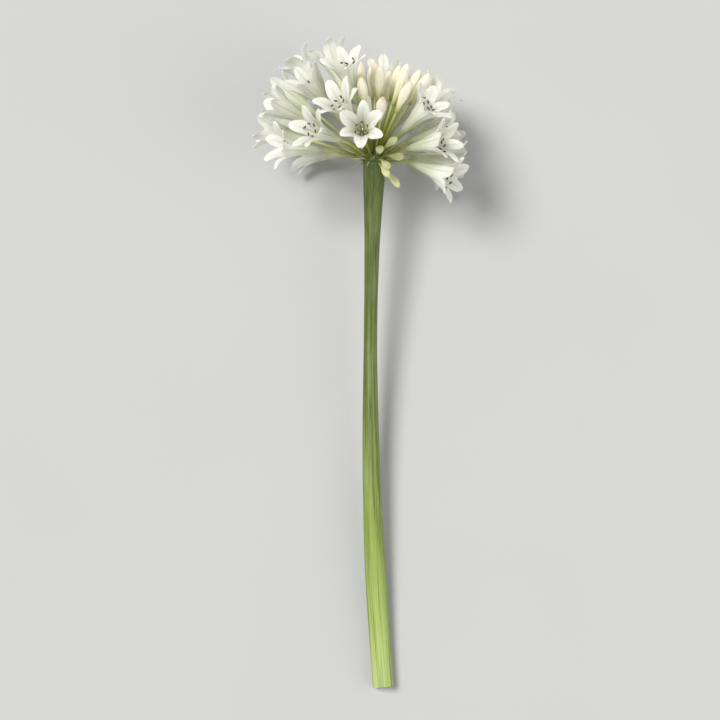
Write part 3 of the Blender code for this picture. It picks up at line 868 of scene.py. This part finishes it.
def tepal_material(look):
    """Fresh white tepal: living tissue, matt, so thin that light glows through it, green in the throat."""
    made, add, grown, along = new_material("fresh white tepal", "grown", "along")
    body = add("ValToRGB", {0: along},
               [(0.0, look.foot_colour), (1.0, look.tepal_colour), (0.14, look.throat_colour),
                (0.32, look.throat_colour), (0.62, look.tepal_colour)])
    across = add("SeparateXYZ", {0: grown})
    away = add("Math", {0: across}, operation="ABSOLUTE")
    rib = remapped(add, away, (0.1, 0.75), (1, 0))
    fade = add("ValToRGB", {0: along},
               [(0.1, (0, 0, 0)), (0.98, (0, 0, 0)), (0.4, (RIB_TINT,) * 3), (0.75, (0.45 * RIB_TINT,) * 3)])
    ribbed = add("Math", {0: rib, 1: fade}, operation="MULTIPLY")
    phase = add("Math", {0: across, 1: 2 * math.pi / VEIN_GAP}, operation="MULTIPLY")
    veins = add("Math", {0: phase}, operation="COSINE")
    veined = remapped(add, veins, (0.2, 1), (0, VEIN_TINT))
    mottle = add("TexNoise", {"Vector": grown, "Scale": 0.25, "Detail": 3.0})
    shaded = remapped(add, mottle, (0.35, 0.7), (0, 0.3))
    colour = tinted(add, body, (veined, look.vein_colour), (shaded, look.shade_colour),
                    (ribbed, look.vein_colour))
    relief = add("Math", {0: veins, 1: 0.25, 2: 0.5}, operation="MULTIPLY_ADD")
    bump = add("Bump", {"Height": relief, "Strength": 0.35, "Distance": 0.15 * MM})
    skin = add("BsdfPrincipled", {"Base Color": colour, "Normal": bump, "Roughness": 0.5, "IOR": 1.4})
    glow = add("BsdfTranslucent", {"Color": colour})
    return finish_material(made, add("MixShader", {0: TEPAL_GLOW, 1: skin, 2: glow}))


def filament_material(look):
    """Filaments and style: white living threads, smoother and a little more see-through than the tepals."""
    made, add, along = new_material("white filament", "along")
    colour = add("ValToRGB", {0: along}, [(0.0, look.filament_foot_colour), (1.0, look.filament_colour),
                                          (0.35, look.filament_colour)])
    return finish_material(made, add("BsdfPrincipled", {"Base Color": colour, "Roughness": 0.4, "IOR": 1.4}))


def anther_material(look):
    """Ripe anther: a dull dark sac dusted with ochre pollen grains."""
    made, add, grown = new_material("ripe anther", "grown")
    dust = add("TexNoise", {"Vector": grown, "Scale": 2.2, "Detail": 4.0})
    colour = add("ValToRGB", {0: dust}, [(0.45, look.anther_colour), (0.72, look.pollen_colour)])
    return finish_material(made, add("BsdfPrincipled", {"Base Color": colour, "Roughness": 0.85}))


def ovary_material(look):
    """Ovary: a smooth, moist, pale green body at the bottom of the tube."""
    made, add, along = new_material("green ovary", "along")
    colour = add("ValToRGB", {0: along}, [(0.0, look.foot_colour), (1.0, look.ovary_colour)])
    return finish_material(made, add("BsdfPrincipled", {"Base Color": colour, "Roughness": 0.35, "IOR": 1.4}))


def bud_material(name, colours):
    """Closed bud: firm waxy tepals, green at the foot, cream along the body and flushed at the tip."""
    made, add, grown, along = new_material(name, "grown", "along")
    streaks = drawn_out(add, grown, 0.12, Scale=0.9, Detail=4.0)
    stray = add("Math", {0: streaks, 1: 0.16, 2: along}, operation="MULTIPLY_ADD")
    place = add("Math", {0: stray, 1: 0.08}, operation="SUBTRACT")
    colour = add("ValToRGB", {0: place}, colours)
    bump = add("Bump", {"Height": streaks, "Strength": 0.3, "Distance": 0.2 * MM})
    skin = add("BsdfPrincipled", {"Base Color": colour, "Normal": bump, "Roughness": 0.42, "IOR": 1.45,
                                  "Subsurface Weight": 0.25, "Subsurface Radius": (1.2, 1.0, 0.6),
                                  "Subsurface Scale": 1.0 * MM})
    return finish_material(made, skin)


def scape_material(look):
    """Scape skin: smooth fleshy green with a thin waxy bloom, streaked along its length by its fibres."""
    made, add, grown, along = new_material("waxy scape skin", "grown", "along")
    body = add("ValToRGB", {0: along}, [(0.0, look.foot_colour), (1.0, look.neck_colour),
                                        (0.22, look.lower_colour), (0.5, look.skin_colour)])
    fibres = drawn_out(add, grown, 0.014, Scale=0.8, Detail=5.0, Roughness=0.6)
    dark = remapped(add, fibres, (0.47, 0.64), (0, 0.7))
    wax = drawn_out(add, grown, 0.25, Scale=0.16, Detail=5.0)
    bloom = remapped(add, wax, (0.45, 0.75), (0, 0.26))
    colour = tinted(add, body, (dark, look.streak_colour), (bloom, look.bloom_colour))
    gloss = remapped(add, wax, (0.3, 0.7), (0.34, 0.5))
    bump = add("Bump", {"Height": fibres, "Strength": 0.4, "Distance": 0.25 * MM})
    skin = add("BsdfPrincipled", {"Base Color": colour, "Roughness": gloss, "Normal": bump, "IOR": 1.42})
    return finish_material(made, skin)


def pith_material(look):
    """Fresh cut: moist pale pith dotted with the cut ends of the fibres, inside a green rind."""
    made, add, grown = new_material("fresh cut pith", "grown")
    flat = add("Mapping", {0: grown, "Scale": (1, 1, 0)})
    ends = add("TexVoronoi", {"Vector": flat, "Scale": 0.8})
    dots = remapped(add, ends, (0.12, 0.3), (0.55, 0))
    away = add("VectorMath", {0: flat}, operation="LENGTH").outputs["Value"]
    rind = remapped(add, away, (5.6, 6.9), (0, 1))
    colour = tinted(add, (*look.pith_colour, 1), (dots, look.lower_colour), (rind, look.skin_colour))
    return finish_material(made, add("BsdfPrincipled", {"Base Color": colour, "Roughness": 0.3, "IOR": 1.36}))


def pedicel_material(look):
    """Pedicel skin: thin green stalks, paler under the flowers and dark olive by the receptacle, partly their
    own colour and partly painted shade of the head's crowded middle.
    """
    made, add, grown, along = new_material("green pedicel", "grown", "along")
    # The dark olive at the root is partly painted shade where the pedicels crowd in the head's middle; the
    # same colour also darkens the stalks' streaks.
    body = add("ValToRGB", {0: along},
               [(0.0, look.root_olive_and_shade_colour), (1.0, look.tip_colour), (0.45, look.stalk_colour)])
    streaks = drawn_out(add, grown, 0.08, Scale=1.1, Detail=3.0)
    dark = remapped(add, streaks, (0.5, 0.75), (0, 0.5))
    colour = tinted(add, body, (dark, look.root_olive_and_shade_colour))
    skin = add("BsdfPrincipled", {"Base Color": colour, "Roughness": 0.42, "IOR": 1.42})
    return finish_material(made, skin)


def bract_material(look):
    """Bracteole: a dry, papery, almost colourless scale with faint lengthwise veins."""
    made, add, grown = new_material("papery bracteole", "grown")
    streaks = drawn_out(add, grown, 0.1, Scale=2.0)
    colour = add("ValToRGB", {0: streaks}, [(0.35, look.bract_colour), (0.7, look.stalk_colour)])
    skin = add("BsdfPrincipled", {"Base Color": colour, "Roughness": 0.7})
    glow = add("BsdfTranslucent", {"Color": colour})
    return finish_material(made, add("MixShader", {0: BRACTEOLE_GLOW, 1: skin, 2: glow}))


def floor_material(look):
    """Table top: matt pale grey paint with a very faint mottle."""
    made, add = new_material("matt painted table")
    place = add("TexCoord").outputs["Object"]
    mottle = add("TexNoise", {"Vector": place, "Scale": 6.0})
    darker = [0.97 * share for share in look.floor_colour]
    colour = add("ValToRGB", {0: mottle}, [(0.3, darker), (0.7, look.floor_colour)])
    return finish_material(made, add("BsdfPrincipled", {"Base Color": colour, "Roughness": 0.75}))


def number_prop(name, description, default, least=0, **more):
    """Gives a property for a number, with the least value that it may have."""
    return bpy.props.FloatProperty(name=name, description=description, default=default, min=least, **more)


def size_prop(name, description, default):
    """Gives a length property in metres."""
    return number_prop(name, description, default, precision=5, subtype="DISTANCE", unit="LENGTH")


def colour_prop(name, description, hex_colour):
    """Gives a colour property that starts at an sRGB hex value."""
    return bpy.props.FloatVectorProperty(name=name, description=description, default=linear(hex_colour),
                                         size=3, min=0, max=1, subtype="COLOR")


class ScapeLook(bpy.types.PropertyGroup):
    """Sizes and colours of the scape."""

    rib_depth: size_prop("Rib depth", "How far the scape's fine lengthwise ribs stand out", 0.16 * MM)
    skin_colour: colour_prop("Skin", "The scape's green at mid height", "#707d37")
    neck_colour: colour_prop("Neck", "The scape's green under the head", "#435113")
    lower_colour: colour_prop("Lower part", "The paler green near the cut", "#8b9f45")
    foot_colour: colour_prop("Foot", "The blanched green at the cut", "#b3c474")
    streak_colour: colour_prop("Streaks", "The dark lengthwise streaks", "#303d0a")
    bloom_colour: colour_prop("Bloom", "The thin waxy bloom on the skin", "#a3ad74")
    pith_colour: colour_prop("Pith", "The pith that the cut shows", "#dfe5bb")


class PedicelLook(bpy.types.PropertyGroup):
    """Sizes and colours of the pedicels and bracteoles."""

    waist: size_prop("Waist radius", "Half the pedicel's width at its middle", 0.80 * MM)
    swelling: size_prop("Top radius", "Half the pedicel's width under the flower", 1.35 * MM)
    # The root colour is partly the pedicels' own olive and partly painted shade of the head's crowded middle.
    root_olive_and_shade_colour: colour_prop("Root", "The olive by the receptacle", "#62651b")
    stalk_colour: colour_prop("Stalk", "The olive green at mid length", "#92953e")
    tip_colour: colour_prop("Top", "The pale green under the flower", "#bfc67b")
    bract_colour: colour_prop("Bracteole", "The papery scales among the pedicels", "#e9e6cc")


class FloretLook(bpy.types.PropertyGroup):
    """Sizes and colours of the open florets."""

    tepal_thickness: size_prop("Tepal thickness", "Thickness of a tepal along its middle", 0.5 * MM)
    margin_wave: size_prop("Margin wave", "How far the tepals' margins wave", 0.55 * MM)
    crease_depth: size_prop("Midrib crease", "How far the midrib stands out on the back", 0.30 * MM)
    layer_step: size_prop("Layer step", "How far the outer tepals lie outside the inner ones", 0.45 * MM)
    lobe_stray: size_prop("Stray", "How far a tepal's tip strays from its place", 1.3 * MM)
    tepal_colour: colour_prop("Tepal", "The white of the tepals", "#fbfbf3")
    throat_colour: colour_prop("Throat", "The greenish tint of the tube", "#e8ebcd")
    foot_colour: colour_prop("Foot", "The green where the tube meets its pedicel", "#b9c484")
    vein_colour: colour_prop("Veins", "The greyish green of midribs and veins", "#c4cca4")
    shade_colour: colour_prop("Unevenness", "The cooler white that the tepals vary towards", "#ebebf1")
    filament_radius: size_prop("Filament radius", "Half a filament's width at its foot", 0.34 * MM)
    anther_length: size_prop("Anther length", "Length of an anther", 2.6 * MM)
    filament_colour: colour_prop("Filament", "The white of filaments and style", "#f7f7f0")
    filament_foot_colour: colour_prop("Filament foot", "The greenish foot of the filaments", "#d5dca5")
    anther_colour: colour_prop("Anther", "The dark sac of the anthers", "#3a3433")
    pollen_colour: colour_prop("Pollen", "The pollen on the anthers", "#93804f")
    ovary_colour: colour_prop("Ovary", "The green of the ovary", "#d5dda2")


class BudLook(bpy.types.PropertyGroup):
    """Sizes and colours of the closed buds."""

    seam_depth: number_prop("Seam depth", "Depth of the seams between tepals, as a share of the radius",
                            0.055, max=0.2, subtype="FACTOR")
    foot_colour: colour_prop("Foot", "The green where a bud meets its pedicel", "#979b4e")
    low_colour: colour_prop("Lower part", "The yellowish green above a bud's foot", "#cecd92")
    body_colour: colour_prop("Body", "The cream of the buds", "#efe9cd")
    tip_colour: colour_prop("Tip", "The warm flush near the tips", "#efe3d0")
    point_colour: colour_prop("Point", "The very tip", "#cfbf9f")
    young_colour: colour_prop("Late bud", "The greenish cream of the late buds", "#e3e4b0")


class StageLook(bpy.types.PropertyGroup):
    """Table, lights and camera."""

    floor_colour: colour_prop("Table", "The colour of the table", "#babab8")
    air_light: number_prop("Air light", "Strength of the light from overhead", 0.36)
    horizon_light: number_prop("Horizon light", "Strength of the light from low around", 0.80)
    key_strength: number_prop("Key light", "Strength of the main light, in W/m2", 2.9)
    key_spread: number_prop("Key spread", "How wide the main light looks from the table", math.radians(24),
                            subtype="ANGLE")
    fill_strength: number_prop("Fill light", "Strength of the second light, in W/m2", 1.0)
    fill_spread: number_prop("Fill spread", "How wide the second light looks", math.radians(60),
                             subtype="ANGLE")
    lens: number_prop("Lens", "The camera's focal length in mm", 100.0, least=10)


def show_instead(piece, slot, *nodes):
    """Hides the frame's nodes that a fine piece stands in for."""
    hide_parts(*nodes)


class AGAPANTHUS_OT_scape(bpy.types.Operator):
    """Grow the ribbed scape with its cut end, and the receptacle on its top"""

    bl_idname = "agapanthus.scape"
    bl_label = "Scape"
    bl_options = {"REGISTER", "UNDO"}

    def execute(self, context):
        look = context.scene.agapanthus_scape
        draw = growth("scape")
        distances = np.linspace(0, SCAPE_LENGTH, SCAPE_ROWS)
        known, widths = zip(*SCAPE_WIDTHS)
        window = np.hanning(2 * SCAPE_EASING + 1)
        beyond = np.arange(-SCAPE_EASING, SCAPE_ROWS + SCAPE_EASING) * SCAPE_LENGTH / (SCAPE_ROWS - 1) / MM
        radii = np.convolve(np.interp(beyond, known, widths), window / window.sum(), "valid") / 2 * MM
        turn = turns(SCAPE_SIDES)
        ribs = sum(np.cos(count * turn + draw.uniform(0, 6.28)) for count in RIB_COUNTS) / len(RIB_COUNTS)
        oval = 0.02 * np.cos(2 * turn)
        scar = SCAR_HEIGHT * np.exp(-((distances - SCAR_PLACE) / SCAR_WIDTH) ** 2)
        wide = radii[:, None] * (1 + oval[None]) + look.rib_depth * ribs[None] + scar[:, None]
        form = Form()
        line = scape_line(distances)
        rings = add_sleeve(form, line, oval_underside(line, wide), SCAPE_SIDES, 0, shut_start=False)
        add_cut(form, rings[0], line[0], unit(line[1] - line[0]))
        skin = scape_material(look)
        show_instead(form.piece("scape", [skin, pith_material(look)]), "stem", "scape_and_pedicels")

        dome = Form()
        polar = np.linspace(0.02, math.pi - 0.02, 20)
        spine = pedicel_centre() - np.outer(np.cos(polar) * RECEPTACLE_RADIUS, head_axes()[2])
        bumps = 1 + 0.02 * np.cos(7 * turn)[None] * np.sin(5 * polar)[:, None]
        radii = np.sin(polar)[:, None] * RECEPTACLE_RADIUS * bumps
        add_sleeve(dome, spine, radii, SCAPE_SIDES, 0, shares=(0.98, 1))
        show_instead(dome.piece("receptacle", [skin]), "stem", "scape_and_pedicels")
        return {"FINISHED"}


class AGAPANTHUS_OT_pedicels(bpy.types.Operator):
    """Grow a pedicel to each flower, and the papery bracteoles among their roots"""

    bl_idname = "agapanthus.pedicels"
    bl_label = "Pedicels"
    bl_options = {"REGISTER", "UNDO"}

    def execute(self, context):
        look = context.scene.agapanthus_pedicel
        shares = np.linspace(0, 1, PEDICEL_ROWS)
        form = Form()
        for flower in umbel():
            root = pedicel_centre() + flower.direction * PEDICEL_ROOT
            neck = flower.base - flower.axis * PEDICEL_NECK
            line = pedicel_points(root, flower.direction, neck, flower.axis, shares)
            line = np.concatenate([line, flower.base - np.outer(NECK_PLACES, flower.axis) * MM])
            slim = YOUNG_SLIMNESS if flower.kind == "young_bud" else 1.0
            waist = look.waist * slim
            top = look.swelling if flower.kind == "floret" else waist * BUD_NECK
            radii = np.full(len(line), waist)
            radii[:len(ROOT_FLARE)] *= ROOT_FLARE
            radii[-len(NECK_SWELLING):] = waist + (top - waist) * np.array(NECK_SWELLING)
            add_sleeve(form, line, radii, PEDICEL_SIDES, 0)
        show_instead(form.piece("pedicels", [pedicel_material(look)]), "stem", "scape_and_pedicels")

        form = Form()
        add_bracteoles(form)
        made = form.piece("bracteoles", [bract_material(look)])
        return {"FINISHED"}


class AGAPANTHUS_OT_florets(bpy.types.Operator):
    """Open the florets, each with its six stamens, its ovary and its style"""

    bl_idname = "agapanthus.florets"
    bl_label = "Florets"
    bl_options = {"REGISTER", "UNDO"}

    def execute(self, context):
        look = context.scene.agapanthus_floret
        kinds = (tepal_material, filament_material, anther_material, ovary_material)
        materials = [kind(look) for kind in kinds]
        for flower in umbel():
            if flower.kind != "floret":
                continue
            draw = growth(flower.node)
            form = Form()
            add_perianth(form, flower, look, draw)
            add_stamens(form, look, flower.openness, draw)
            add_pistil(form, look, draw)
            made = form.piece(flower.node + "_bloom", materials, flower_matrix(flower))
            show_instead(made, "tepal", flower.node)
        return {"FINISHED"}


class AGAPANTHUS_OT_buds(bpy.types.Operator):
    """Grow the closed buds in the middle of the head and the late ones low in it"""

    bl_idname = "agapanthus.buds"
    bl_label = "Buds"
    bl_options = {"REGISTER", "UNDO"}

    def execute(self, context):
        look = context.scene.agapanthus_bud
        full = [(0.04, look.foot_colour), (1.0, look.point_colour), (0.2, look.low_colour),
                (0.42, look.body_colour), (0.7, look.body_colour), (0.86, look.tip_colour),
                (0.95, look.tip_colour)]
        late = [(0.04, look.foot_colour), (1.0, look.low_colour), (0.3, look.young_colour),
                (0.85, look.young_colour)]
        skins = {"bud": bud_material("cream bud", full), "young_bud": bud_material("late bud", late)}
        for flower in umbel():
            if flower.kind == "floret":
                continue
            form = Form()
            add_bud(form, flower, look, growth(flower.node))
            made = form.piece(flower.node + "_closed", [skins[flower.kind]], flower_matrix(flower))
            show_instead(made, "bud", flower.node)
        return {"FINISHED"}


def lay_table(look):
    """Lays the round table top."""
    turn = turns(TABLE_SIDES)
    circle = np.stack([np.cos(turn), np.sin(turn), 0 * turn], axis=-1)
    points = np.multiply.outer(TABLE_RADII, circle).reshape(-1, 3)
    mesh = bpy.data.meshes.new("table_top")
    mesh.from_pydata(points.tolist(), [], ring_faces(len(TABLE_RADII), TABLE_SIDES, False))
    mesh.materials.append(floor_material(look))
    mesh.shade_smooth()
    table = new_object("table_top", mesh)


def light_air(look):
    """Lights the air all round, more strongly near the horizon than overhead."""
    world = bpy.data.worlds.new("studio air")
    world.use_nodes = True
    world.node_tree.nodes.clear()
    add = functools.partial(add_node, world.node_tree)
    sky = add("TexCoord").outputs["Generated"]
    height = add("SeparateXYZ", {0: sky}).outputs["Z"]
    share = remapped(add, height, AIR_HEIGHTS, (look.horizon_light, look.air_light))
    air = add("Background", {"Color": (*linear(AIR_COLOUR), 1), "Strength": share})
    add("OutputWorld", {"Surface": air})
    bpy.context.scene.world = world


def hang_lamps(look):
    """Hangs the two far, soft lights."""
    low, high = cad_box
    for name, place, spread, strength in (("key", KEY_PLACE, look.key_spread, look.key_strength),
                                          ("fill", FILL_PLACE, look.fill_spread, look.fill_strength)):
        lamp = bpy.data.lights.new(name, "SUN")
        lamp.energy = strength
        lamp.angle = spread
        made = new_object(name, lamp)
        made.location = (low + high) / 2 + Vector(place)
        made.rotation_euler = (-Vector(place)).to_track_quat("-Z", "Y").to_euler()


def place_camera(look):
    """Places the camera square to the scape, where the whole umbel fills its share of the picture."""
    low, high = cad_box
    lens = bpy.data.cameras.new("camera")
    lens.lens = look.lens
    camera = new_object("camera", lens)
    scape = Vector(HEART) - Vector(scape_line(0.0))
    back = Vector((0, -scape.z, scape.y)).normalized()
    up = np.cross(back, (1, 0, 0))
    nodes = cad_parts.values()
    heights = np.concatenate([np.array([v.co for v in node.data.vertices]) @ up for node in nodes])
    ends = heights.min(), heights.max()
    distance = (ends[1] - ends[0]) / 2 / FILL / (lens.sensor_width / 2 / lens.lens)
    aim = Vector(((low.x + high.x) / 2, 0, 0)) + Vector(up) * sum(ends) / 2
    camera.location = aim + back * (distance + ((low + high) / 2).dot(back))
    camera.rotation_euler = back.to_track_quat("Z", "Y").to_euler()
    bpy.context.scene.camera = camera


class AGAPANTHUS_OT_stage(bpy.types.Operator):
    """Lay the pale table, and set the soft lights and the camera that looks down on the umbel"""

    bl_idname = "agapanthus.stage"
    bl_label = "Stage"
    bl_options = {"REGISTER", "UNDO"}

    def execute(self, context):
        look = context.scene.agapanthus_stage
        lay_table(look)
        light_air(look)
        hang_lamps(look)
        place_camera(look)
        context.scene.view_settings.view_transform = "Standard"
        return {"FINISHED"}


class AGAPANTHUS_PT_panel(bpy.types.Panel):
    """The umbel's operators and settings"""

    bl_idname = "AGAPANTHUS_PT_panel"
    bl_label = "Agapanthus"
    bl_space_type = "VIEW_3D"
    bl_region_type = "UI"
    bl_category = "Agapanthus"

    def draw(self, context):
        for operator, name, _ in STEPS:
            box = self.layout.box()
            box.operator(operator.bl_idname)
            settings = getattr(context.scene, name)
            for setting in settings.__class__.__annotations__:
                box.prop(settings, setting)


STEPS = (
    (AGAPANTHUS_OT_scape, "agapanthus_scape", ScapeLook),
    (AGAPANTHUS_OT_pedicels, "agapanthus_pedicel", PedicelLook),
    (AGAPANTHUS_OT_florets, "agapanthus_floret", FloretLook),
    (AGAPANTHUS_OT_buds, "agapanthus_bud", BudLook),
    (AGAPANTHUS_OT_stage, "agapanthus_stage", StageLook),
)


def register():
    """Registers the settings, the operators and the panel."""
    for operator, name, group in STEPS:
        bpy.utils.register_class(group)
        setattr(bpy.types.Scene, name, bpy.props.PointerProperty(type=group))
        bpy.utils.register_class(operator)
    bpy.utils.register_class(AGAPANTHUS_PT_panel)


def unregister():
    """Takes the settings, the operators and the panel away again."""
    bpy.utils.unregister_class(AGAPANTHUS_PT_panel)
    for operator, name, group in reversed(STEPS):
        bpy.utils.unregister_class(operator)
        delattr(bpy.types.Scene, name)
        bpy.utils.unregister_class(group)


def main():
    """Runs each step in order."""
    register()
    bpy.ops.agapanthus.scape()
    bpy.ops.agapanthus.pedicels()
    bpy.ops.agapanthus.florets()
    bpy.ops.agapanthus.buds()
    bpy.ops.agapanthus.stage()


if __name__ == "__main__":
    main()
